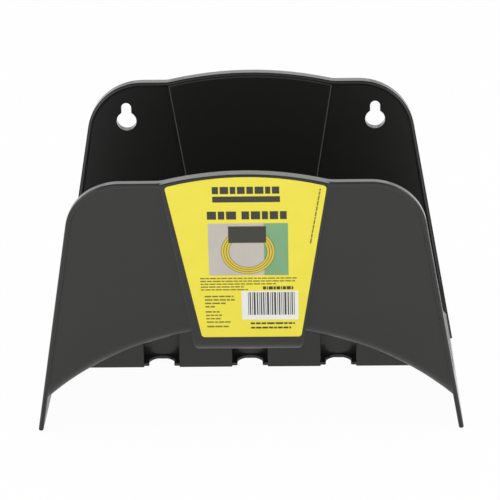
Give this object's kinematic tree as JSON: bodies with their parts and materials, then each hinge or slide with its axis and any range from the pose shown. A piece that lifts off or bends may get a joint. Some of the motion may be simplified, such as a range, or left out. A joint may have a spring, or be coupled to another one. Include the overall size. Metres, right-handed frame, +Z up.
{
  "type": "hose hanger",
  "caption": "One-piece moulded plastic wall hanger for a garden hose: keyhole back plate, arched saddle, leaning front plate with a label panel, rail with open clips.",
  "frame": {"origin": "midway between the heads of the two keyholes, on the wall plane", "axes": "+Z up, +Y into the wall, +X to the right of someone facing the wall"},
  "size_m": [0.2416, 0.1638, 0.1716],
  "materials": {
    "black_plastic": "fine satin grain, moulded",
    "yellow_film": "printed adhesive film"
  },
  "bodies": {
    "root": {"hanger": "black_plastic", "label": "yellow_film"}
  },
  "joints": []
}
